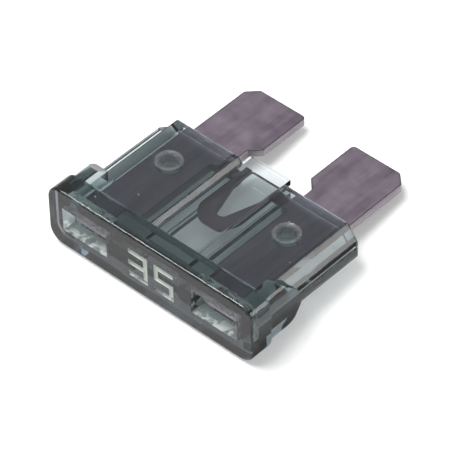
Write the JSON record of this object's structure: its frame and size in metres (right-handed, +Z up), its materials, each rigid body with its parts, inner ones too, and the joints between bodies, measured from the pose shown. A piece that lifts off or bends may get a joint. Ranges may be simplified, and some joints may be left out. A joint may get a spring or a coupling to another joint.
{
  "type": "blade fuse",
  "caption": "Plug-in blade fuse with a clear smoky housing, two flat blades and a thin looped link between them.",
  "frame": {"origin": "under the middle of the fuse's length and width, level with the lowest face of the head, as the fuse lies flat", "axes": "+X across the width, +Y along the length towards the blade tips, +Z up through the thickness"},
  "size_m": [0.019, 0.0186, 0.0051],
  "materials": {
    "clear_housing": "clear smoky moulded plastic, glossy",
    "zinc_element": "stamped zinc sheet, satin, faint rolling lines"
  },
  "bodies": {
    "root": {"housing": "clear_housing", "fuse_element": "zinc_element"}
  },
  "joints": []
}
